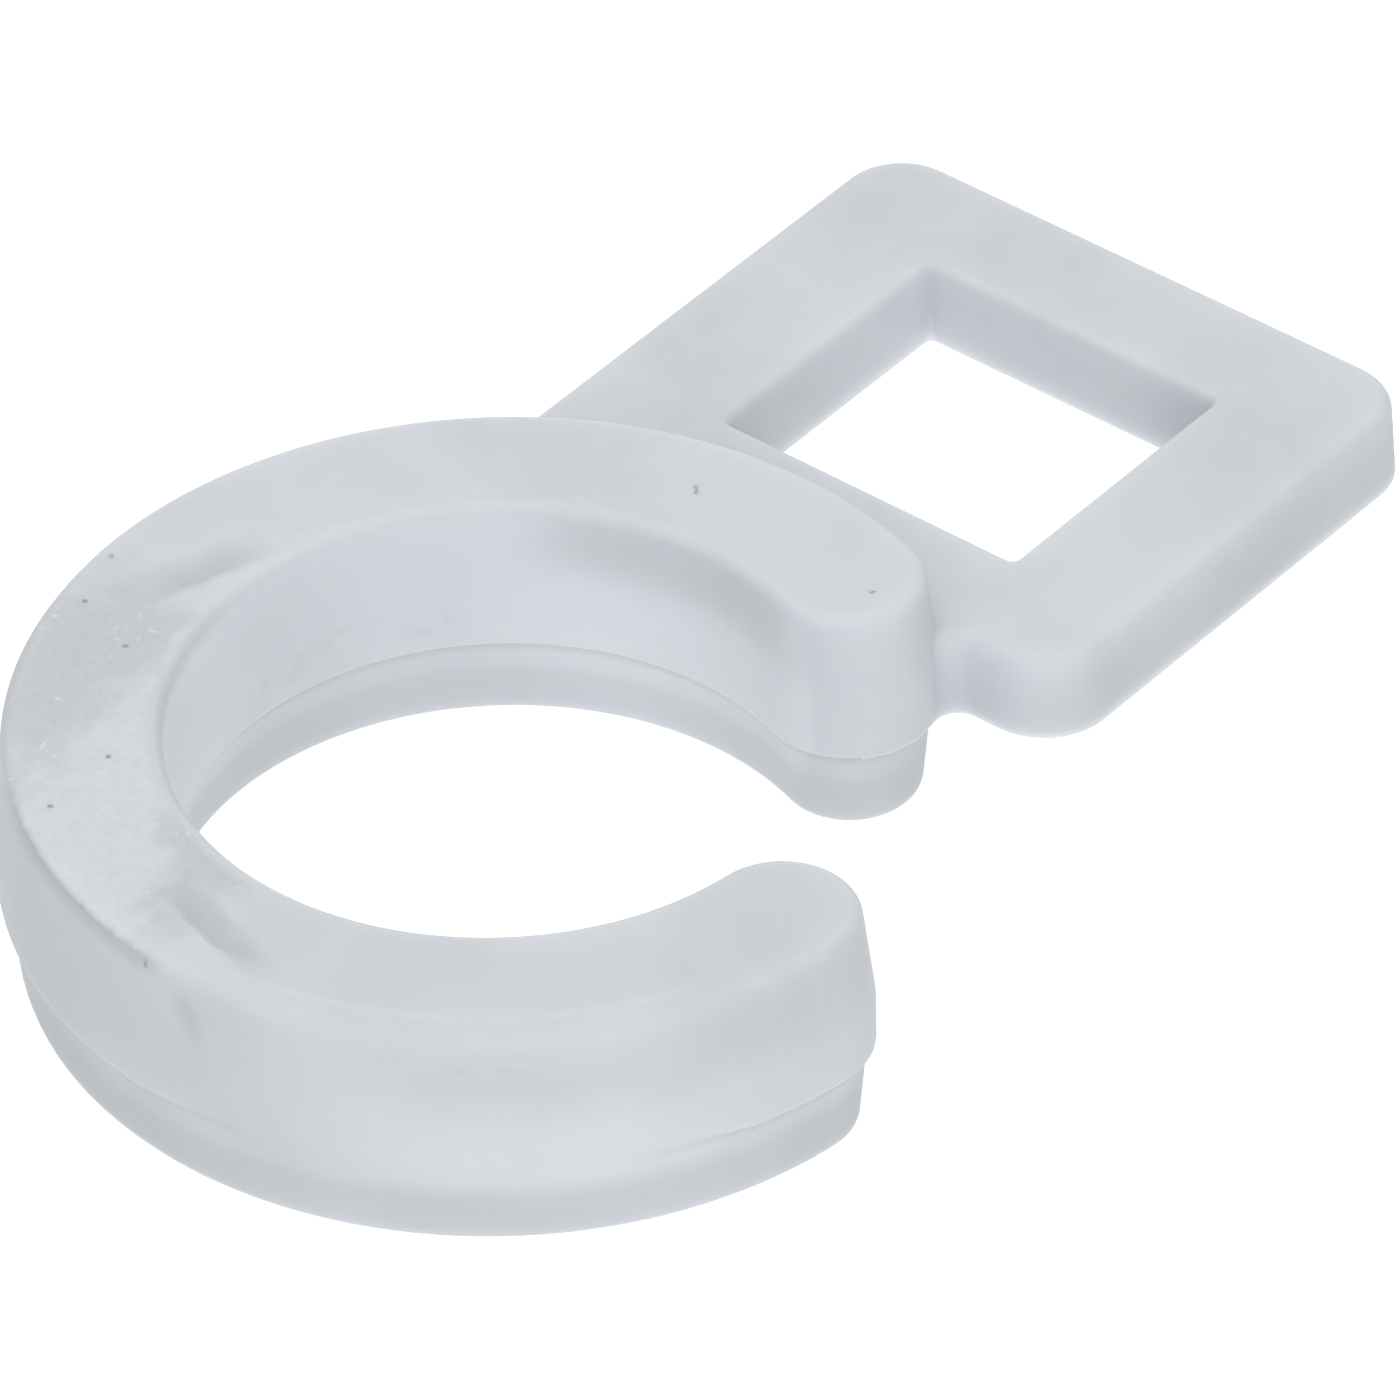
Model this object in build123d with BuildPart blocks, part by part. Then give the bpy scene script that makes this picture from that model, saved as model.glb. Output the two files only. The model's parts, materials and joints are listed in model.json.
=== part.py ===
from build123d import *
import os
from math import asin, cos, degrees, radians, sin, sqrt, tan

# Clip-on curtain ring, moulded in one piece: an open ring that snaps over a rod,
# with a flat square-eyed lug on its outer wall for the curtain's hook.
# The origin is on the ring's axis at half its height, +Z is the axis and +X points along the lug.

# Ring section, in millimetres. It is widest at the parting line of the mould.
bore_diameter = 13.0
section_width = 3.7
ring_height = 5.4
parting_rise = 2.0
land_height = 1.2
wall_draft = 6.5
foot_draft = 5.5
parting_step = 0.18
top_edge_radius = 0.3
foot_chamfer = 0.25

# Mouth that the rod snaps through: the clear width between the round tips, and the way it faces.
mouth_width = 6.95
mouth_turn = -58.3

# Lug: a flat frame with round corners, its underside on the parting line.
# Its length is measured outward from the ring's wall, and its side at the mouth starts inside that wall.
lug_inset = 1.05
lug_length = 11.3
lug_width = 14.2
lug_thickness = 1.9
lug_corner_radius = 1.5
lug_draft = 3.0
lug_edge_radius = 0.35
root_fillet = 0.55

# Eye for the hook, measured at the lug's upper face, and from the ring's wall outward.
# It lies a little off the lug's middle.
eye_gap = 1.6
eye_length = 6.75
eye_width = 7.6
eye_offset = -0.1
eye_edge_radius = 0.2

# Levels and radii that follow from these sizes.
top_level = ring_height / 2
foot_level = -ring_height / 2
parting_level = foot_level + parting_rise
land_level = parting_level + land_height
lug_top_level = parting_level + lug_thickness
half_width = section_width / 2
mean_radius = bore_diameter / 2 + half_width
outer_radius = mean_radius + half_width
half_top = half_width - (top_level - land_level) * tan(radians(wall_draft))
half_foot = half_width - parting_step - parting_rise * tan(radians(foot_draft))

# The tips are round in plan, so the mouth's clear width sets the angle between their centres.
tip_half_angle = degrees(asin((mouth_width / 2 + half_width) / mean_radius))
first_tip = mouth_turn + tip_half_angle
last_tip = mouth_turn - tip_half_angle + 360

# The lug's side away from the mouth runs straight into the ring, as far as the middle of its section.
lug_half = lug_width / 2
lug_root = outer_radius - lug_inset
lug_reach = outer_radius + lug_length
eye_middle = outer_radius + eye_gap + eye_length / 2
side_meets_ring = sqrt(mean_radius**2 - lug_half**2)
side_angle = degrees(asin(lug_half / mean_radius))
back_root_reach = sqrt(outer_radius**2 - lug_half**2)

# At the mouth the lug's side meets the round tip. What is straight of it limits the root's rounding.
tip_reach = mean_radius * cos(radians(first_tip))
tip_offset = mean_radius * sin(radians(first_tip))
side_meets_tip = tip_offset - sqrt(half_width**2 - (lug_root - tip_reach) ** 2)
straight_side = lug_half - lug_corner_radius + side_meets_tip
root_radius = min(root_fillet, straight_side / 2)


def radial_plane(angle):
    """Upright plane through the ring's axis, with X pointing outward at this angle."""
    return Plane.XZ.rotated((0, 0, angle))


# Outer half of the section. X is the distance from the ring's axis and Y the height.
with BuildSketch() as half_section:
    with BuildLine():
        Polyline(
            (mean_radius, foot_level),
            (mean_radius + half_foot, foot_level),
            (mean_radius + half_width - parting_step, parting_level),
            (mean_radius + half_width, parting_level),
            (mean_radius + half_width, land_level),
            (mean_radius + half_top, top_level),
            (mean_radius, top_level),
            close=True,
        )
    make_face()
    foot_corner = half_section.vertices().group_by(Axis.Y)[0].sort_by(Axis.X)[-1]
    chamfer(foot_corner, length=foot_chamfer)
    top_corner = half_section.vertices().group_by(Axis.Y)[-1].sort_by(Axis.X)[-1]
    fillet(top_corner, radius=top_edge_radius)

# Lug with its eye. Both taper towards the top, as they leave the upper half of the mould.
# Their upper rims are rounded, and their lower ones stay sharp, because the mould parts there.
# The plan includes the stretch of ring that it grows from, so that its roots blend into the wall.
with BuildPart() as lug:
    with BuildSketch(Plane.XY.offset(parting_level)) as lug_plan:
        with BuildLine():
            Polyline(
                (lug_root, 0),
                (lug_root, -lug_half),
                (lug_reach, -lug_half),
                (lug_reach, lug_half),
                (side_meets_ring, lug_half),
                close=True,
            )
        make_face()
        outer_corners = lug_plan.vertices().filter_by(lambda v: v.X >= lug_root and v.Y != 0)
        fillet(outer_corners, radius=lug_corner_radius)
        SlotArc(CenterArc((0, 0), mean_radius, first_tip, side_angle - first_tip), section_width)
        mouth_root = lug_plan.vertices().sort_by_distance((lug_root, side_meets_tip))[0]
        back_root = lug_plan.vertices().sort_by_distance((back_root_reach, lug_half))[0]
        fillet([mouth_root, back_root], radius=root_radius)
    extrude(amount=lug_thickness, taper=lug_draft)
    lug_rim = lug.edges().group_by(Axis.Z)[-1]
    fillet(lug_rim, radius=lug_edge_radius)
    with BuildSketch(Plane.XY.offset(lug_top_level)):
        with Locations((eye_middle, eye_offset)):
            Rectangle(eye_length, eye_width)
    extrude(amount=-lug_thickness, taper=lug_draft, mode=Mode.SUBTRACT)
    eye_rim = lug.edges(Select.LAST).group_by(Axis.Z)[-1]
    fillet(eye_rim, radius=eye_edge_radius)

with BuildPart() as curtain_ring:
    with BuildSketch(radial_plane(first_tip)):
        add(half_section.sketch)
        mirror(about=Plane.YZ.offset(mean_radius))
    revolve(axis=Axis.Z, revolution_arc=last_tip - first_tip)
    for angle, way in ((first_tip, -1), (last_tip, 1)):
        end_plane = radial_plane(angle)
        with BuildSketch(end_plane):
            add(half_section.sketch)
        middle = end_plane.from_local_coords((mean_radius, 0, 0))
        revolve(axis=Axis(middle, (0, 0, way)), revolution_arc=180)
    add(lug.part)

curtain_ring.part.label = "curtain_ring"
os.makedirs("parts", exist_ok=True)
export_step(curtain_ring.part, "parts/curtain_ring.step")
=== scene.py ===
# %% [markdown]
# # A clip-on curtain ring
# The ring is one moulding in milky plastic. It snaps over a rod at its mouth, and a flat lug
# with a square eye takes the curtain's hook. The solid part is loaded first and stays as it is:
# it gives the sizes, and everything modelled here is measured against it.

# %% Load the solid part
import json
from math import asin, atan2, cos, degrees, hypot, pi, radians, sin, sqrt, tan

import bmesh
import bpy
from mathutils import Matrix, Vector, noise
from mathutils.bvhtree import BVHTree


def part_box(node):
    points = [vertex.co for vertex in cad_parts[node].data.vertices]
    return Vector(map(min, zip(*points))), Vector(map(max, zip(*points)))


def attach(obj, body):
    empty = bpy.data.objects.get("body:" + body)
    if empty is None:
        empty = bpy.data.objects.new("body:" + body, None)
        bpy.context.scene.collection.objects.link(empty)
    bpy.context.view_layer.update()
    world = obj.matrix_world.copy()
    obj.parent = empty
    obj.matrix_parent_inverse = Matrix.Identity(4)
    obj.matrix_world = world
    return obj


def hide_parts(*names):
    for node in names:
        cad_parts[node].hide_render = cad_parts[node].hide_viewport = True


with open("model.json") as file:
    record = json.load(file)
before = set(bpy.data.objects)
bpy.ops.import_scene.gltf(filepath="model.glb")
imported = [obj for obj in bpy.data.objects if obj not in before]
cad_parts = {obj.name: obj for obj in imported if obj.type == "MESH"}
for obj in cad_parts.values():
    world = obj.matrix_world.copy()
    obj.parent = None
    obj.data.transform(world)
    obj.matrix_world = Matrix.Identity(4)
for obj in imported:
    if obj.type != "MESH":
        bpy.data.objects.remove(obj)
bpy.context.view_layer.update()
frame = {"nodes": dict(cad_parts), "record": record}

MM = 0.001
solid = frame["nodes"]["curtain_ring"]
low, high = (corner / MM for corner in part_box("curtain_ring"))
rod_bore = next(mount for mount in frame["record"]["mounts"] if mount["name"] == "rod_bore")
print("solid part in millimetres:", [round(side, 2) for side in high - low])

# %% [markdown]
# ## Working by hand, in code
# Operators act on whatever is selected, so each step first says what that is. These helpers
# select one object, or the parts of its mesh that pass a test on where they lie. The modelling
# is done in millimetres, one unit each, and the finished piece is brought down to metres.

# %% Selecting helpers
level_slack = 1e-4


def take(*pieces):
    """Selects these objects and nothing else. The first one becomes the active object."""
    bpy.ops.object.select_all(action="DESELECT")
    for piece in pieces:
        piece.select_set(True)
    bpy.context.view_layer.objects.active = pieces[0]


def edit(piece):
    """Goes into edit mode on this object."""
    take(piece)
    bpy.ops.object.mode_set(mode="EDIT")


def leave():
    """Goes back to object mode."""
    bpy.ops.object.mode_set(mode="OBJECT")


def pick(piece, kind, test):
    """In edit mode, selects the vertices, edges or faces that pass a test, and returns how many."""
    bpy.ops.mesh.select_mode(type=kind)
    bpy.ops.mesh.select_all(action="DESELECT")
    shape = bmesh.from_edit_mesh(piece.data)
    items = {"VERT": shape.verts, "EDGE": shape.edges, "FACE": shape.faces}[kind]
    chosen = [item for item in items if test(item)]
    for item in chosen:
        item.select_set(True)
    shape.select_flush_mode()
    bmesh.update_edit_mesh(piece.data)
    return len(chosen)


def at(item, level):
    """True where every corner of an edge or face lies at this height."""
    return all(abs(corner.co.z - level) < level_slack for corner in item.verts)


def trace(name, points):
    """A chain of edges through these points, drawn by extruding one vertex onward."""
    bpy.ops.object.select_all(action="DESELECT")
    bpy.ops.mesh.primitive_plane_add(size=1)
    piece = bpy.context.object
    piece.name = name
    bpy.ops.object.mode_set(mode="EDIT")
    bpy.ops.mesh.select_mode(type="VERT")
    bpy.ops.mesh.merge(type="CENTER")
    bpy.ops.transform.translate(value=points[0])
    for here, there in zip(points, points[1:]):
        step = Vector(there) - Vector(here)
        bpy.ops.mesh.extrude_vertices_move(TRANSFORM_OT_translate={"value": step})
    leave()
    return piece


def copy_of(piece, name):
    """A copy with its own mesh, selected and active."""
    take(piece)
    bpy.ops.object.duplicate()
    twin = bpy.context.object
    twin.name = name
    return twin


def turn(piece, angle):
    """Turns a piece about the ring's axis, and puts the turn into its mesh."""
    take(piece)
    piece.rotation_euler.z = angle
    bpy.ops.object.transform_apply(location=False, rotation=True, scale=False)


print("heights closer than", level_slack, "mm count as the same")

# %% [markdown]
# ## The ring's section
# The mould parts along a line round the ring, where the section is widest. Above it the wall has
# a straight land and then leans in, so that the moulding comes free, and below it the other half
# of the mould is a little smaller, which leaves a fine ledge. The section is the same on its inner
# and outer side, so one half is enough. It is traced from corner to corner. Vertex bevels round
# the top edge, the foot and the ledge, and subdividing gives the points that the marks will need
# later. A curve could be turned as well, but its points would be harder to place.

# %% Half section
section_width = 3.7
parting_rise = 2.0
land_height = 1.2
wall_draft = radians(6.5)
foot_draft = radians(5.5)
parting_step = 0.18
top_edge_radius = 0.3
foot_edge = 0.25
ledge_edge = 0.11
ledge_corner = 0.05
point_slack = 1e-3

half_width = section_width / 2
mean_radius = rod_bore["dims"]["r_mm"] + half_width
outer_radius = mean_radius + half_width
parting_level = low.z + parting_rise
land_level = parting_level + land_height
top_corner = mean_radius + half_width - (high.z - land_level) * tan(wall_draft)
foot_corner = outer_radius - parting_step - parting_rise * tan(foot_draft)

half = trace("half_section", [
    (mean_radius, 0, high.z),
    (top_corner, 0, high.z),
    (outer_radius, 0, land_level),
    (outer_radius, 0, parting_level),
    (outer_radius - parting_step, 0, parting_level),
    (foot_corner, 0, low.z),
    (mean_radius, 0, low.z),
])


def near(x, z):
    """Test for the point at this place of the section."""
    return lambda corner: hypot(corner.co.x - x, corner.co.z - z) < point_slack


def between(z_low, z_high):
    """Test for edges that lie wholly between two heights."""
    lowest, highest = z_low - point_slack, z_high + point_slack
    return lambda edge: all(lowest < corner.co.z < highest for corner in edge.verts)


def long_edges(least, z_low, z_high):
    """Test for the longer edges between two heights."""
    inside = between(z_low, z_high)
    return lambda edge: edge.calc_length() > least and inside(edge)


def divide(test, cuts):
    """Divides the edges that pass a test."""
    if pick(half, "EDGE", test):
        bpy.ops.mesh.subdivide(number_cuts=cuts)


edge_run = top_edge_radius / tan((pi / 2 + wall_draft) / 2)
edit(half)
for x, level, size, segments in (
    (top_corner, high.z, edge_run, 7),
    (foot_corner, low.z, foot_edge, 4),
    (outer_radius, parting_level, ledge_edge, 4),
    (outer_radius - parting_step, parting_level, ledge_corner, 2),
):
    pick(half, "VERT", near(x, level))
    bpy.ops.mesh.bevel(offset=size, segments=segments, affect="VERTICES")
divide(lambda edge: at(edge, high.z), 17)
divide(long_edges(1.5, land_level, high.z), 13)
divide(long_edges(0.8, parting_level, land_level), 4)
divide(long_edges(0.8, low.z + 1e-2, parting_level), 5)
divide(lambda edge: at(edge, low.z), 2)
leave()
print("half section:", len(half.data.vertices), "points")

# %% [markdown]
# ## Ring and tips
# A whole section, mirrored about its middle, is spun round the bore's axis. Each end is closed by
# spinning the half section half a turn about its own upright middle, which makes the tips round in
# plan, as they have to be to guide the rod in. The three shells share their end points, so merging
# the doubles makes one closed skin.

# %% Ring and tips
mouth_width = 6.95
mouth_turn = radians(-58.3)
ring_steps = 460
tip_steps = 40
seam_slack = 2e-3
least_length = 1e-5

tip_half_angle = asin((mouth_width / 2 + half_width) / mean_radius)
first_tip = mouth_turn + tip_half_angle
last_tip = mouth_turn - tip_half_angle + 2 * pi


def spin(piece, steps, angle, centre):
    """Spins a piece counter-clockwise, seen from above: the operator turns the other way."""
    edit(piece)
    bpy.ops.mesh.select_all(action="SELECT")
    bpy.ops.mesh.spin(steps=steps, angle=-angle, center=centre, axis=(0, 0, 1))
    leave()


def direction(angle):
    """Unit vector at this angle round the ring's axis."""
    return Vector((cos(angle), sin(angle), 0))


ring = copy_of(half, "curtain_ring_milky")
mirror = ring.modifiers.new("other half", "MIRROR")
middle = bpy.data.objects.new("middle of the section", None)
bpy.context.scene.collection.objects.link(middle)
middle.location.x = mean_radius
bpy.context.view_layer.update()
mirror.mirror_object = middle
mirror.merge_threshold = 1e-4
bpy.ops.object.modifier_apply(modifier=mirror.name)
bpy.data.objects.remove(middle)
turn(ring, first_tip)
spin(ring, ring_steps, last_tip - first_tip, (0, 0, 0))

tips = []
for name, angle, way in (("first tip", first_tip, -1), ("last tip", last_tip, 1)):
    tip = copy_of(half, name)
    spin(tip, tip_steps, way * pi, (mean_radius, 0, 0))
    turn(tip, angle)
    tips.append(tip)

take(ring, *tips)
bpy.ops.object.join()
edit(ring)
bpy.ops.mesh.select_all(action="SELECT")
bpy.ops.mesh.remove_doubles(threshold=seam_slack)
bpy.ops.mesh.dissolve_degenerate(threshold=least_length)
bpy.ops.mesh.normals_make_consistent(inside=False)
open_edges = pick(ring, "EDGE", lambda edge: not edge.is_manifold)
leave()
bpy.data.objects.remove(half)
print("ring:", len(ring.data.polygons), "faces,", open_edges, "open edges")

# %% [markdown]
# ## The lug
# The lug is a flat frame on the parting line. Its outline has round corners, and where it grows
# from the ring a small hollow rounding takes up the corner. These roundings are arcs that touch
# two known lines or circles, so their centres follow from the sizes. A bevel on the corners could
# make them too, but not where the outline meets the ring's curve. The outline runs on inside the
# ring, where it doesn't show.

# %% Lug outline
lug_inset = 1.05
lug_width = 14.2
lug_corner_radius = 1.5
root_radius = 0.55
overlap = 0.01
tip_run = radians(60)
ring_run = radians(8)

lug_half = lug_width / 2
lug_reach = high.x
lug_root = outer_radius - lug_inset


def arc(centre, radius, start, end, steps=10):
    """Points on an arc in the parting plane, from one angle to another."""
    angles = [start + (end - start) * step / steps for step in range(steps + 1)]
    return [Vector((*centre, parting_level)) + radius * direction(angle) for angle in angles]


def bearing(vector):
    """Angle of a vector round the ring's axis."""
    return atan2(vector.y, vector.x)


tip_middle = mean_radius * direction(first_tip)
ring_circle = outer_radius - overlap
tip_circle = half_width - overlap
root_x = lug_root - root_radius
root_y = tip_middle.y - sqrt((tip_circle + root_radius) ** 2 - (root_x - tip_middle.x) ** 2)
mouth_root = Vector((root_x, root_y, 0))
back_y = lug_half + root_radius
back_root = Vector((sqrt((ring_circle + root_radius) ** 2 - back_y**2), back_y, 0))
near_y = lug_corner_radius - lug_half
far_x = lug_reach - lug_corner_radius
near_x = lug_root + lug_corner_radius
quarter = pi / 2
at_tip = bearing(mouth_root - tip_middle)
at_back = bearing(back_root)
into_ring = at_back + ring_run

outline = [
    tip_middle + Vector((0, 0, parting_level)),
    *arc(tip_middle.xy, tip_circle, at_tip - tip_run, at_tip, 3)[:-1],
    *arc(mouth_root.xy, root_radius, at_tip + pi, 0),
    *arc((near_x, near_y), lug_corner_radius, pi, 3 * quarter),
    *arc((far_x, near_y), lug_corner_radius, -quarter, 0),
    *arc((far_x, -near_y), lug_corner_radius, 0, quarter),
    *arc(back_root.xy, root_radius, -quarter, at_back - pi),
    *arc((0, 0), ring_circle, at_back, into_ring, 2)[1:],
    mean_radius * direction(into_ring) + Vector((0, 0, parting_level)),
]
lug = trace("lug", outline)
print("lug outline:", len(outline), "points")

# %% [markdown]
# ### The lug's body
# Insetting the filled outline while it rises gives the walls their draft, as the mould needs it. An
# edge bevel then rounds the upper rim. The lower rim lies on the parting line and stays sharp.

# %% Lug body
lug_thickness = 1.9
lug_draft = radians(3)
lug_edge_radius = 0.35
lug_top = parting_level + lug_thickness

edit(lug)
pick(lug, "VERT", lambda corner: len(corner.link_edges) == 1)
bpy.ops.mesh.edge_face_add()
bpy.ops.mesh.select_all(action="SELECT")
bpy.ops.mesh.edge_face_add()
if bmesh.from_edit_mesh(lug.data).faces[:][0].normal.z < 0:
    bpy.ops.mesh.flip_normals()
bpy.ops.mesh.inset(thickness=lug_thickness * tan(lug_draft), depth=lug_thickness)
pick(lug, "EDGE", lambda edge: edge.is_boundary)
bpy.ops.mesh.edge_face_add()
pick(lug, "EDGE", lambda edge: at(edge, lug_top))
rim_run = lug_edge_radius / tan((quarter + lug_draft) / 2)
bpy.ops.mesh.bevel(offset=rim_run, segments=6, profile=0.5, affect="EDGES")
bpy.ops.mesh.select_all(action="SELECT")
bpy.ops.mesh.normals_make_consistent(inside=False)
leave()
print("lug:", len(lug.data.polygons), "faces")

# %% [markdown]
# ## The eye
# A pin in the mould leaves the eye, so it is cut with a copy of that pin: a tapered block, wider at
# the top, with slightly eased upright corners. Insetting a hole would do for a plain one, but the
# pin gives the taper and the corners in one go.

# %% Pin
eye_gap = 1.6
eye_length = 6.75
eye_width = 7.6
eye_offset = -0.1
eye_corner_radius = 0.16
pin_overlap = 0.5

eye_middle = outer_radius + eye_gap + eye_length / 2
pin_height = lug_thickness + 2 * pin_overlap
pin_top = lug_top + pin_overlap


def pin_size(side, level):
    """A side of the pin at a height, with the draft from the lug's upper face down."""
    return side - 2 * (lug_top - level) * tan(lug_draft)


bpy.ops.object.select_all(action="DESELECT")
pin_place = (eye_middle, eye_offset, pin_top - pin_height / 2)
pin_sides = (eye_length, eye_width, pin_height)
bpy.ops.mesh.primitive_cube_add(size=1, location=pin_place, scale=pin_sides)
pin = bpy.context.object
bpy.ops.object.transform_apply(location=True, rotation=False, scale=True)
edit(pin)
for level in (pin_top, pin_top - pin_height):
    pick(pin, "VERT", lambda corner: abs(corner.co.z - level) < point_slack)
    share = (pin_size(eye_length, level) / eye_length, pin_size(eye_width, level) / eye_width, 1)
    bpy.ops.transform.resize(value=share, center_override=(eye_middle, eye_offset, level))
pick(pin, "EDGE", lambda edge: abs(edge.verts[0].co.z - edge.verts[1].co.z) > pin_height / 2)
bpy.ops.mesh.bevel(offset=eye_corner_radius, segments=4, profile=0.5, affect="EDGES")
leave()
print("pin:", len(pin.data.polygons), "faces")

# %% [markdown]
# ### Cutting the eye
# A Boolean modifier takes the pin out of the lug. A bevel then rounds the rim that the cut has left
# in the lug's upper face. The lower rim stays sharp, like the lug's own.

# %% Cut the eye
eye_edge_radius = 0.2
rim_slack = 0.05


def combine(piece, other, operation):
    """Cuts or joins two closed shells, and removes the second one."""
    take(piece)
    tool = piece.modifiers.new(operation.lower(), "BOOLEAN")
    tool.operation = operation
    tool.solver = "EXACT"
    tool.object = other
    bpy.ops.object.modifier_apply(modifier=tool.name)
    bpy.data.objects.remove(other)


combine(lug, pin, "DIFFERENCE")


def on_eye_rim(edge):
    """True for the edges round the eye in the lug's upper face."""
    inside = all(
        abs(corner.co.x - eye_middle) < eye_length / 2 + rim_slack
        and abs(corner.co.y - eye_offset) < eye_width / 2 + rim_slack
        for corner in edge.verts
    )
    return inside and at(edge, lug_top)


edit(lug)
rim_edges = pick(lug, "EDGE", on_eye_rim)
eye_run = eye_edge_radius / tan((quarter + lug_draft) / 2)
bpy.ops.mesh.bevel(offset=eye_run, segments=5, profile=0.5, affect="EDGES")
leave()
print("eye: rim of", rim_edges, "edges rounded; lug now has", len(lug.data.polygons), "faces")

# %% [markdown]
# ## One moulding
# Ring and lug come out of the same mould, so they are united into one skin. The lug's underside and
# the ring's ledge lie in one plane, and where they meet the union can leave a sliver that hangs by
# one point. Such slivers are deleted.

# %% Unite
union_slack = 1e-3

combine(ring, lug, "UNION")
edit(ring)
bpy.ops.mesh.select_all(action="SELECT")
bpy.ops.mesh.remove_doubles(threshold=union_slack)
bpy.ops.mesh.dissolve_degenerate(threshold=least_length)
slivers = pick(ring, "FACE", lambda face: all(edge.is_boundary for edge in face.edges))
if slivers:
    bpy.ops.mesh.delete(type="FACE")
bpy.ops.mesh.select_all(action="SELECT")
bpy.ops.mesh.normals_make_consistent(inside=False)
open_edges = pick(ring, "EDGE", lambda edge: not edge.is_manifold)
leave()
print("moulding:", len(ring.data.polygons), "faces,", slivers, "slivers deleted")
print("moulding:", open_edges, "open edges")

# %% [markdown]
# ## Where the ring was torn and knocked
# On the real ring a long patch of the top face is torn and frosted, as if a runner of the mould had
# been broken off there. It ends in a gouge at either side, the outer edge under it is undercut, and
# the wall below has a dimple. These could be sculpted by hand or painted as bump only. Here each
# mark is a weight at every point, worked out from its bearing, radius and height, and a Displace
# modifier moves the points by it, so that the marks are real shape. First the skin gets finer faces
# where the tear will be.

# %% Finer faces for the tear
tear_start, tear_end = 96, 182
edge_zone = 0.5


def around(point):
    """Bearing in degrees from the lug's direction, and radius, of a point on the ring."""
    return degrees(atan2(point.y, point.x)) % 360, hypot(point.x, point.y)


def in_tear_zone(face):
    """True for the faces of the top and its rims where the tear will be."""
    middle = face.calc_center_median()
    return tear_start < around(middle)[0] < tear_end and middle.z > high.z - edge_zone


edit(ring)
fine_faces = pick(ring, "FACE", in_tear_zone)
bpy.ops.mesh.subdivide(number_cuts=1)
leave()
print("tear:", fine_faces, "faces divided;", len(ring.data.vertices), "points in all")

# %% [markdown]
# ### Measures
# A measure says how strong a mark is at a point, from 0 to 1. Most are a share along the ring
# times a share across it. Both rise and fall smoothly, so that no mark has a hard border, and fine
# noise makes it ragged. Bearings are in degrees, and radii and heights in millimetres.


# %% Measures
def ease(start, end, value):
    """Goes smoothly from 0 at start to 1 at end."""
    share = min(max((value - start) / (end - start), 0), 1)
    return share * share * (3 - 2 * share)


def span(start, full, fading, end, value):
    """Rises from 0 at start to 1 at full, and falls from 1 at fading to 0 at end."""
    return ease(start, full, value) * (1 - ease(fading, end, value))


def hollow(share):
    """A round hollow: 1 in its middle, where the share is 0, and 0 from its border on."""
    return (1 - min(share, 1) ** 2) ** 2


def grain(point, size):
    """Fine unevenness from -1 to 1, with lumps of about this size."""
    return noise.noise(point / size)


print("a span half way up:", span(0, 1, 2, 3, 0.5), "and a hollow half way out:", hollow(0.5))

# %% [markdown]
# ### Weights and presses
# A measure is kept in a vertex group where it moves points, and in an attribute where the
# material reads it. Displace moves the points along their normals or straight down, evenly or by
# the lumps of a cloud texture. Each move is applied at once, and the next one starts from there.

# %% Weights and presses
least_weight = 0.005
cloud_depth = 3


def weigh(name, measure):
    """A vertex group with the weight that a measure gives at each point."""
    group = ring.vertex_groups.new(name=name)
    for corner in ring.data.vertices:
        amount = measure(corner.co)
        if amount > least_weight:
            group.add([corner.index], min(amount, 1), "REPLACE")


def paint(name, measure):
    """A value at each point, kept in the mesh for the material to read."""
    layer = ring.data.attributes.new(name, "FLOAT", "POINT")
    layer.data.foreach_set("value", [measure(corner.co) for corner in ring.data.vertices])
    print("painted:", name)


def press(name, depth, way="NORMAL", lumps=None):
    """Moves the points of a group inward, evenly or by lumps of a size, and applies the move."""
    take(ring)
    tool = ring.modifiers.new(name, "DISPLACE")
    tool.vertex_group = name
    tool.direction = way
    tool.mid_level = 0
    tool.strength = -depth
    if lumps:
        tool.texture = bpy.data.textures.new(name, "CLOUDS")
        tool.texture.noise_scale = lumps
        tool.texture.noise_depth = cloud_depth
        tool.texture_coords = "LOCAL"
    bpy.ops.object.modifier_apply(modifier=tool.name)
    print(name, "pressed in by", depth, "mm")


print("weights under", least_weight, "are left out")

# %% [markdown]
# ### The torn patch
# It covers nearly the whole width of the top face, with a ragged border. Its upper part is dull,
# and its whitest part runs slantwise, from the inner edge to the outer one. Two presses make its
# hollows: one with coarse lumps, and one with fine crumbs.

# %% Torn patch
top_zone = high.z - 0.12
top_rim = 0.12


def torn(point):
    """Where the top face is torn."""
    angle, radius = around(point)
    if point.z < top_zone - 0.3 or not 85 < angle < 190:
        return 0
    ragged = 6 * grain(point, 1.3) + 4 * grain(point, 0.5)
    along = ease(90, 106, angle + ragged) * (1 - ease(170, 181, angle + 0.6 * ragged))
    across = ease(6.85, 7.15, radius + ragged * 0.02) * ease(top_zone - top_rim, top_zone, point.z)
    return along * across


def frosted(point):
    """The whitest part of the tear."""
    angle, radius = around(point)
    ragged = 7 * grain(point, 1.2) + 5 * grain(point, 0.45)
    slant = 10 * (radius - mean_radius)
    begun = ease(116, 140, angle - slant + ragged)
    ended = ease(160, 174, angle - slant * 0.9 + ragged)
    return torn(point) * (begun * (1 - ended))


weigh("tear", torn)
paint("torn", torn)
press("tear", 0.05, "Z", lumps=0.4)
press("tear", 0.025, "Z", lumps=0.13)

# %% [markdown]
# ### The gouges
# A gouge is a dent along a short line on the top face. It is steeper on one side than on the other
# and runs out at both ends. The two differ only in their line, reach and depth, so one function
# makes the measure of both.

# %% Gouges
gouge_zone = 0.7


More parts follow.
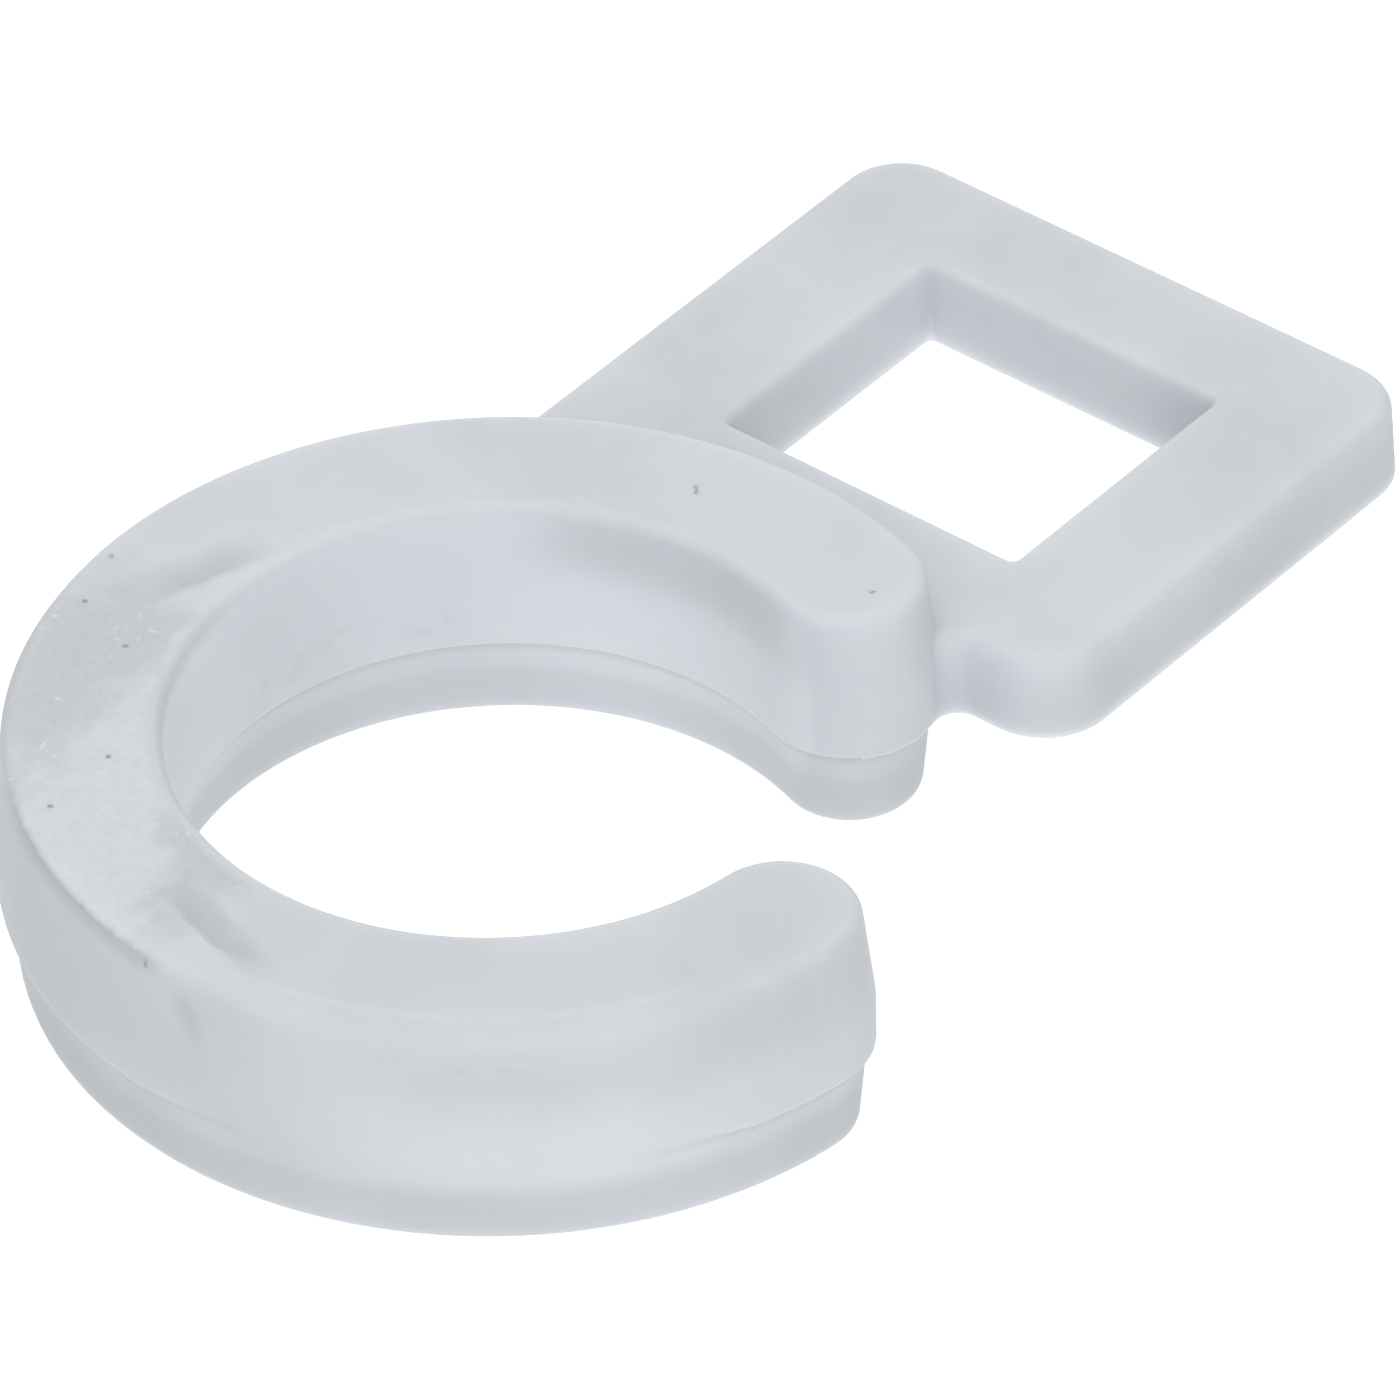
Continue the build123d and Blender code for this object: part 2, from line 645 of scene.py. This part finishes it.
def on_top(angle, radius):
    """A point of the top face, from its bearing and radius."""
    return radius * direction(radians(angle)) + Vector((0, 0, high.z))


def gouge(start, end, outer_reach, inner_reach):
    """Measure of a dent along the line between two places, each a bearing and a radius."""
    first, last = on_top(*start), on_top(*end)
    line = last - first
    across = Vector((-line.y, line.x, 0)).normalized()

    def measure(point):
        if point.z < high.z - gouge_zone:
            return 0
        share = (point - first).dot(line) / line.length_squared
        apart = (point - first).dot(across) + 0.12 * grain(point, 0.6)
        reach = inner_reach if apart > 0 else outer_reach
        return span(-0.2, 0.35, 0.6, 1.2, share) * hollow(abs(apart) / reach)

    return measure


upper_gouge = gouge((80.5, 7.4), (99.5, 8.3), outer_reach=0.85, inner_reach=0.45)
lower_gouge = gouge((168.5, 8.2), (188.5, 9.05), outer_reach=0.4, inner_reach=0.55)
weigh("upper_gouge", upper_gouge)
press("upper_gouge", 0.14, "Z")
weigh("lower_gouge", lower_gouge)
press("lower_gouge", 0.16, "Z")

# %% [markdown]
# ### Rubbed edge, undercut and dimple
# The outer edge towards the near side is rubbed round, so it is pressed straight down, more
# towards its rim. The undercut runs along the outer edge below the tear, and the dimple is a
# slanting oval on the wall below. These two are pressed in along the wall's own normals.

# %% Rubbed edge, undercut and dimple
rub_radius = 9.33
rub_width = 0.5
undercut_level = high.z - 0.24
dimple_bearing, dimple_level = 181.6, 1.72
dimple_length, dimple_width = 0.8, 0.5
dimple_lean = (0.55, 0.83)


def rubbed(point):
    """How far the near outer edge is rubbed down."""
    angle, radius = around(point)
    if radius < rub_radius or point.z < land_level:
        return 0
    along = span(172, 198, 234, 256, angle)
    return along * min((radius - rub_radius) / rub_width, 1) ** 1.5 * ease(1.6, 2.3, point.z)


def undercut(point):
    """The groove under the torn outer edge, which runs out further down than up."""
    angle, radius = around(point)
    if radius < mean_radius + 0.6 or not 120 < angle < 184:
        return 0
    ragged = 0.04 * grain(point, 0.5) + 0.03 * grain(point, 0.2)
    above = point.z - undercut_level + ragged
    reach = 0.18 if above > 0 else 0.34
    return span(134, 150, 174, 179, angle) * (1 - ease(0.03, reach, abs(above)))


def dimple(point):
    """The slanting oval on the outer wall."""
    angle, radius = around(point)
    if radius < mean_radius + 1:
        return 0
    along = radians(angle - dimple_bearing) * outer_radius
    rise = point.z - dimple_level
    lengthwise = dimple_lean[0] * along - dimple_lean[1] * rise
    crosswise = dimple_lean[1] * along + dimple_lean[0] * rise
    return hollow(hypot(lengthwise / dimple_length, crosswise / dimple_width))


for name, mark, depth, way in (
    ("rubbed", rubbed, 0.1, "Z"),
    ("undercut", undercut, 0.07, "NORMAL"),
    ("dimple", dimple, 0.09, "NORMAL"),
):
    weigh(name, mark)
    press(name, depth, way)

# %% [markdown]
# ### The ledge where it is worn
# On the near wall the ledge of the parting line is hardly there. Pressing would only shift it, so a
# Smooth modifier with a weight melts it into the wall.


# %% Melted ledge
def worn(point):
    """Where the ledge is worn away."""
    angle, radius = around(point)
    if radius < mean_radius:
        return 0
    return span(176, 196, 232, 250, angle)


def ledge(point):
    """The worn stretch, close to the parting line."""
    return worn(point) * (1 - ease(0.35, 0.6, abs(point.z - parting_level)))


weigh("ledge", ledge)
take(ring)
melt = ring.modifiers.new("melt", "SMOOTH")
melt.vertex_group = "ledge"
melt.factor = 0.5
melt.iterations = 300
bpy.ops.object.modifier_apply(modifier=melt.name)
print("ledge melted where it is worn")

# %% [markdown]
# ### White spots, painted glints and dark specks
# The crest of the rubbed edge is white in broken spots, partly whitened plastic and partly a
# painted highlight, the far inner edge has a few painted glints, and dark specks are strewn over
# the top.
# None of these has a depth to see, so they are values for the material.

# %% White spots, painted glints and dark specks
speck_places = [
    (110.9, 7.92), (103.9, 9.27), (94.7, 9.55), (136.7, 7.83), (145.4, 9.24),
    (329.4, 7.69), (335.9, 8.48), (9.9, 8.23), (10.6, 8.36), (175.5, 9.98),
]
speck_size = 0.07
speck_points = [on_top(*place) for place in speck_places]


def crest_white_and_highlight(point):
    """White spots along the rubbed edge, partly whitened plastic and partly painted highlight."""
    angle, radius = around(point)
    if point.z < high.z - 0.3:
        return 0
    line = 1 - ease(0.02, 0.16, abs(radius - rub_radius - 0.04 + 0.05 * grain(point, 0.5)))
    broken = 0.45 + 0.55 * ease(0.0, 0.4, grain(point, 0.4))
    return span(182, 198, 236, 250, angle) * line * broken


def painted_glints(point):
    """Painted highlight: bright specks along the inner edge on the far side."""
    angle, radius = around(point)
    if point.z < high.z - 0.1:
        return 0
    band = span(6.75, 6.9, 7.2, 7.6, radius)
    return span(18, 30, 78, 90, angle) * band * ease(0.3, 0.5, grain(point, 0.22))


def specked(point):
    """Small dark specks on the top face and its rim."""
    if point.z < high.z - 0.4:
        return 0
    nearest = min((point - place).xy.length for place in speck_points)
    return 1 - ease(0.5, 1.2, nearest / speck_size)


# The frosted value holds the tear's frost and also the painted highlights on the crest and the
# inner edge.
paint("frosted", lambda point: min(frosted(point) + crest_white_and_highlight(point) + painted_glints(point), 1))
paint("specked", specked)

# %% [markdown]
# ### Light through the walls
# The plastic lets some light through, so the bore's wall is paler, most where nothing stands behind
# it, and so is part of the near wall. The shader's scattering alone did not give these tones, so a
# paler colour on these walls stands for the rest.

# %% Light through the walls
wall_share, left_share, right_share, near_share = 0.32, 0.6, 0.4, 0.3


def signed(angle):
    """The same bearing, from -180 to 180 degrees."""
    return (angle + 180) % 360 - 180


def lightened(point):
    """How much light comes through the wall."""
    bearing_here, radius = around(point)
    angle = signed(bearing_here)
    if radius > mean_radius + 1.5:
        near_wall = span(-165, -145, -98, -80, angle)
        return near_share * near_wall * span(-1.5, -0.9, 0.3, 1.6, point.z)
    left = span(78, 108, 190, 230, bearing_here)
    right = span(-40, -15, 15, 45, angle) * (1 - ease(0.6, 1.5, point.z))
    wall = 1 - ease(mean_radius - 1.6, mean_radius - 1.3, radius)
    below_rim = 1 - ease(2.3, 2.6, point.z)
    return wall * below_rim * (wall_share + left_share * left + right_share * right)


paint("lightened", lightened)

# %% [markdown]
# ### Scuffs
# The inner wall is scuffed, and in front of the lug's root it gets a band of painted shade, where
# less light comes through the wall. The near wall has faint scratches. Stretched noise breaks the
# scuffs and scratches up into streaks.


# %% Scuffs
def scuffed(point):
    """Scuffs on the inner wall, at the land."""
    angle, radius = around(point)
    if radius > mean_radius - 1 or not parting_level < point.z < land_level + 0.4:
        return 0
    height = 1 - ease(0.2, 0.5, abs(point.z - 0.5 + 0.028 * abs(angle - 68)))
    streaks = Vector((angle * 0.21 + point.z * 1.3, point.z * 4.1 - angle * 0.05, 7.3))
    return span(44, 50, 92, 98, angle) * height * ease(0.0, 0.5, noise.noise(streaks))


def scratched(point):
    """Faint scratches high on the near wall."""
    angle, radius = around(point)
    if radius < mean_radius + 1.4 or not 205 < angle < 230:
        return 0
    height = 1 - ease(0.2, 0.5, abs(point.z - 1.65))
    streaks = Vector((angle * 0.3 + point.z, point.z * 5.3 + angle * 0.07, 2.1))
    return span(209, 214, 221, 226, angle) * height * ease(0.0, 0.5, noise.noise(streaks))


def backing_shade(point):
    """Painted shade on the inner wall, in front of the lug's root, where less light comes through.
    """
    angle, radius = around(point)
    if radius > mean_radius - 1 or point.z < 0:
        return 0
    return span(-26, -8, 22, 38, signed(angle)) * span(1.0, 1.9, 2.35, 2.65, point.z)


deepest_scuff = max(scuffed(corner.co) for corner in ring.data.vertices)
print("deepest scuff:", round(deepest_scuff, 2))

# %% [markdown]
# ### Painted shade
# Painted shade lies along the ledge, low on the lug's sides and under the torn inner edge, and the
# foot is painted darker towards the bottom. Together with the scuffs and the painted shade in the
# marks this makes one value.

# %% Painted shade
ledge_shade, lug_side_shade, rim_shade = 0.8, 0.6, 0.4


def in_eye(point):
    """True for the points on the eye's walls."""
    across_x, across_y = abs(point.x - eye_middle), abs(point.y - eye_offset)
    return across_x < eye_length / 2 and across_y < eye_width / 2


def painted_shade_lines(point):
    """Painted shade on the lug's sides, under the torn inner edge and along the ledge."""
    angle, radius = around(point)
    if radius > outer_radius + 0.3:
        height = ease(parting_level, parting_level + 1.3, point.z)
        return 0 if in_eye(point) else lug_side_shade * (1 - height)
    if radius < 7.0 and 85 < angle < 172 and point.z > high.z - 0.7:
        below = 1 - ease(0.1, 0.35, abs(point.z - high.z + 0.2))
        return rim_shade * span(88, 104, 150, 170, angle) * below
    return ledge_shade * (1 - worn(point)) * (1 - ease(0.03, 0.18, abs(point.z - parting_level)))


def shaded(point):
    """Painted shade in the marks, along the lines and at the foot, together with the scuffs and
    scratches.
    """
    # Painted shade in the hollows of the gouges, the undercut and the dimple.
    gouges = 0.85 * upper_gouge(point) + 0.85 * lower_gouge(point)
    marks = gouges + 0.8 * undercut(point) + 0.4 * dimple(point)
    # Scuffs and scratches are wear; the band before the lug's root and the lines are painted shade.
    scuff_and_shade = 0.35 * scuffed(point) + 0.25 * scratched(point) + 0.6 * backing_shade(point) + painted_shade_lines(point)
    # Painted shade at the foot, darker towards the bottom.
    foot = 1 - ease(low.z + 1.0, low.z + 1.6, point.z)
    return min(marks + scuff_and_shade + 0.55 * foot, 1)


paint("shaded", shaded)

# %% [markdown]
# ## Against the solid part
# The skin is brought down to metres and compared with the solid part, point by point. It is made
# smaller by a ten-thousandth, so that rounding can't put a point outside the solid's box.

# %% Compare and attach
skin_fit = 0.9999
smooth_angle = radians(30)
take(ring)
ring.vertex_groups.clear()
ring.scale = Vector((1, 1, 1)) * MM * skin_fit
bpy.ops.object.transform_apply(location=False, rotation=False, scale=True)
bpy.ops.object.shade_smooth_by_angle(angle=smooth_angle)
solid_tree = BVHTree.FromPolygons(
    [solid.matrix_world @ corner.co for corner in solid.data.vertices],
    [face.vertices for face in solid.data.polygons],
)
away = [solid_tree.find_nearest(corner.co)[3] / MM for corner in ring.data.vertices]
print("largest distance from the solid part:", round(max(away), 4), "mm")
print("triangles:", sum(len(face.vertices) - 2 for face in ring.data.polygons))
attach(ring, "root")
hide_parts("curtain_ring")

# %% [markdown]
# ## Milky plastic
# The plastic is cloudy and cool grey, and light spreads a little way inside it, which softens
# every edge. Its surface is satin with faint mottling. A picture could give this, but it would fit
# one view only. Noise on the piece's own coordinates and the values kept at its points fit all
# round. A small class lets the shader's maths be written as plain Python.


# %% Shader arithmetic
class Wire:
    """A socket in a node tree. Arithmetic on wires adds Math nodes."""

    def __init__(self, tree, socket=None):
        self.tree = tree
        self.socket = socket

    def node(self, kind, settings, sockets, output=0):
        """Adds a node: its settings first, then the values or links of its sockets."""
        made = self.tree.nodes.new("ShaderNode" + kind)
        for name, value in settings.items():
            setattr(made, name, value)
        for name, value in sockets.items():
            if isinstance(value, Wire):
                self.tree.links.new(value.socket, made.inputs[name])
            else:
                made.inputs[name].default_value = value
        return Wire(self.tree, made.outputs[output])

    def math(self, operation, first, second):
        """Adds a Math node."""
        return self.node("Math", {"operation": operation}, {0: first, 1: second})

    def __add__(self, other):
        return self.math("ADD", self, other)

    def __radd__(self, other):
        return self.math("ADD", other, self)

    def __sub__(self, other):
        return self.math("SUBTRACT", self, other)

    def __rsub__(self, other):
        return self.math("SUBTRACT", other, self)

    def __mul__(self, other):
        return self.math("MULTIPLY", self, other)

    def __rmul__(self, other):
        return self.math("MULTIPLY", other, self)

    def between(self, start, end):
        """Goes smoothly from 0 at start to 1 at end."""
        sockets = {"Value": self, "From Min": start, "From Max": end}
        return self.node("MapRange", {"interpolation_type": "SMOOTHSTEP"}, sockets)

    def mix(self, factor, first, second):
        """One colour going over to another by a factor."""
        return self.node("Mix", {"data_type": "RGBA"}, {0: factor, 6: first, 7: second}, 2)

    def blend(self, factor, colour):
        """This colour going over to another one by a factor."""
        return self.mix(factor, self, colour)

    def feed(self, socket):
        """Links this wire to a socket of another node."""
        self.tree.links.new(self.socket, socket)


# %% [markdown]
# ### Patterns
# Broad clouds and fine mottling come from noise in two sizes, and the crumbs and flecks of the torn
# patch from finer noise. Where the marks lie is read from the values kept at the points.

# %% Patterns
plastic = bpy.data.materials.new("milky_plastic")
plastic.use_nodes = True
shader = plastic.node_tree.nodes["Principled BSDF"]
start = Wire(plastic.node_tree)
coordinates = start.node("TexCoord", {}, {}, 3)


def cloudiness(size_mm, detail):
    """Noise from 0 to 1 with lumps of about this size."""
    sockets = {"Vector": coordinates, "Scale": 1 / (size_mm * MM), "Detail": detail}
    return start.node("TexNoise", {}, sockets)


def kept(name):
    """A value that the mesh keeps at its points."""
    return start.node("Attribute", {"attribute_name": name}, {}, 2)


torn_mask = kept("torn")
broad = cloudiness(5.0, 2.0).between(0.35, 0.65)
mottle = cloudiness(1.1, 3.0).between(0.4, 0.72)
crumbs = cloudiness(0.2, 3.0).between(0.36, 0.64)
flecks = cloudiness(0.25, 1.0).between(0.69, 0.76)
print("patterns:", len(plastic.node_tree.nodes), "nodes")

# %% [markdown]
# ### Colour
# The colour is built up in layers: the plastic's own grey, the painted light through the walls,
# then the tear with its flecks and frost, with painted highlights on the edges, and last the
# painted shade with the scuffs, and the specks.

# %% Colour
deep_grey, pale_grey = (0.588, 0.618, 0.652, 1), (0.630, 0.660, 0.698, 1)
cloud_grey = (0.648, 0.674, 0.702, 1)
lit_grey = (0.760, 0.793, 0.831, 1)
torn_grey = (0.530, 0.554, 0.580, 1)
fleck_white = (0.720, 0.742, 0.770, 1)
frost_and_glint_white = (0.660, 0.682, 0.712, 1)
shade_and_scuff_grey = (0.450, 0.474, 0.502, 1)
speck_grey = (0.220, 0.220, 0.220, 1)

cloudy = start.mix(broad, deep_grey, pale_grey).blend(0.3 * mottle, cloud_grey)
lighter = cloudy.blend(kept("lightened"), lit_grey)
roughened = lighter.blend(torn_mask * (0.8 - 0.2 * crumbs), torn_grey)
flecked = roughened.blend(0.7 * torn_mask * flecks, fleck_white)
# The frost layer also paints the highlights on the crest and the inner edge.
frosty = flecked.blend(kept("frosted") * (0.75 + 0.25 * crumbs), frost_and_glint_white)
# Painted shade, together with the scuffs and scratches.
with_painted_shade = frosty.blend(0.55 * kept("shaded"), shade_and_scuff_grey)
spotted = with_painted_shade.blend(0.75 * kept("specked"), speck_grey)
spotted.feed(shader.inputs["Base Color"])
print("colour:", len(plastic.node_tree.nodes), "nodes")

# %% [markdown]
# ### Surface
# The moulded face is satin, and rougher where it is torn. Only the finest grain is left to bump.
# The scattering inside the plastic is the same all over, so it is set on the shader's own sockets.

# %% Surface
relief_strength, relief_depth = 0.25, 0.03 * MM
scatter_weight, scatter_reach = 0.5, 0.9 * MM

roughness = 0.5 + 0.1 * mottle + 0.2 * torn_mask
roughness.feed(shader.inputs["Roughness"])
height = 0.4 * cloudiness(0.35, 2.0) + 0.8 * torn_mask * crumbs
sockets = {"Strength": relief_strength, "Distance": relief_depth, "Height": height}
start.node("Bump", {}, sockets).feed(shader.inputs["Normal"])
shader.inputs["Subsurface Weight"].default_value = scatter_weight
shader.inputs["Subsurface Radius"].default_value = (1.0, 1.0, 1.05)
shader.inputs["Subsurface Scale"].default_value = scatter_reach
shader.inputs["IOR"].default_value = 1.49
shader.inputs["Specular IOR Level"].default_value = 0.25
ring.data.materials.clear()
ring.data.materials.append(plastic)
print("plastic:", len(plastic.node_tree.nodes), "nodes")

# %% [markdown]
# ## The floor
# The ring lies on white, as on a light table. The floor glows slightly, so it stays white inside
# the bore and the eye too. It is left out of the diffuse light that reaches the ring, because the
# studio's own light from below stands for it.

# %% Floor
floor_side = 3
floor_white = (0.7, 0.7, 0.7, 1)
floor_glow = 0.55

bpy.ops.object.select_all(action="DESELECT")
bpy.ops.mesh.primitive_plane_add(size=floor_side, location=(0, 0, low.z * MM))
floor = bpy.context.object
floor.name = "floor"
table = bpy.data.materials.new("light_table")
table.use_nodes = True
table_shader = table.node_tree.nodes["Principled BSDF"]
table_shader.inputs["Base Color"].default_value = floor_white
table_shader.inputs["Roughness"].default_value = 0.9
table_shader.inputs["Specular IOR Level"].default_value = 0
table_shader.inputs["Emission Color"].default_value = (1, 1, 1, 1)
table_shader.inputs["Emission Strength"].default_value = floor_glow
floor.data.materials.append(table)
floor.visible_diffuse = False
scene = bpy.context.scene
scene.view_settings.view_transform = "Standard"
print("floor at", round(low.z, 2), "mm")

# %% [markdown]
# ## The camera
# The camera looks at the ring's top from the photograph's angle. It is set by its turn, elevation
# and roll, by the pixels that a millimetre takes at the ring's middle, and by its distance, which
# gives the perspective. The lens is shifted because the ring isn't in the picture's middle.

# %% Camera
view_turn = radians(-48.949)
elevation = radians(39.016)
roll = radians(2.0655)
image = 1400
centre_x, centre_y = 496.17, 716.53
pixels_per_mm = 49.852
distance = 1 / 0.003247
sensor = 36

side = Vector((cos(view_turn), sin(view_turn), 0))
away_from = Vector((-sin(view_turn), cos(view_turn), 0))
upward = away_from * sin(elevation) + Vector((0, 0, cos(elevation)))
toward = -away_from * cos(elevation) + Vector((0, 0, sin(elevation)))
camera_x = side * cos(roll) - upward * sin(roll)
camera_y = side * sin(roll) + upward * cos(roll)

lens = bpy.data.cameras.new("camera")
camera = bpy.data.objects.new("camera", lens)
scene.collection.objects.link(camera)
turned = Matrix((camera_x, camera_y, toward)).transposed().to_4x4()
turned.translation = (Vector((0, 0, high.z)) + toward * distance) * MM
camera.matrix_world = turned
lens.sensor_width = sensor
lens.lens = sensor * pixels_per_mm * distance / image
lens.shift_x = (image / 2 - centre_x) / image
lens.shift_y = (centre_y - image / 2) / image
lens.clip_start = 0.01
scene.camera = camera
print("camera", round(distance), "mm away, focal length", round(lens.lens), "mm")

# %% [markdown]
# ## The light
# The walls, the top and the rounded edges between them are almost equally bright in the photograph,
# and only what faces left or right is darker. One lamp would make the edges shine. An arch of light
# from front to back, dark at its two sides and brighter below, as over a light table, gives these
# tones. A weak broad key light near the camera adds a little form.

# %% Light
arch_light, side_light = (1.15, 1.15, 1.15, 1), (0.25, 0.25, 0.25, 1)
from_below, to_the_right = 0.34, 0.06
horizon = 0.2
key_distance, key_size, key_power = 0.5, 0.8, 0.5

world = bpy.data.worlds.new("studio")
world.use_nodes = True
background = world.node_tree.nodes["Background"]
sky = Wire(world.node_tree)
way = sky.node("TexCoord", {}, {})
across = sky.node("VectorMath", {"operation": "DOT_PRODUCT"}, {0: way, 1: side}, 1)
rise = sky.node("SeparateXYZ", {}, {0: way}, 2)
sky.mix(across * across, arch_light, side_light).feed(background.inputs["Color"])
above_horizon = rise.between(-horizon, horizon)
strength = (1 + from_below) - from_below * above_horizon + to_the_right * across
strength.feed(background.inputs["Strength"])
scene.world = world

key_way = (-0.06 * side - 0.72 * away_from + Vector((0, 0, 0.69))).normalized()
lamp = bpy.data.lights.new("key", "AREA")
lamp.shape = "DISK"
lamp.size = key_size
lamp.energy = key_power
key = bpy.data.objects.new("key", lamp)
scene.collection.objects.link(key)
key.location = key_way * key_distance
key.rotation_euler = key_way.to_track_quat("Z", "Y").to_euler()
print("key light", key_distance, "m away, on the side", [round(share, 2) for share in key_way])
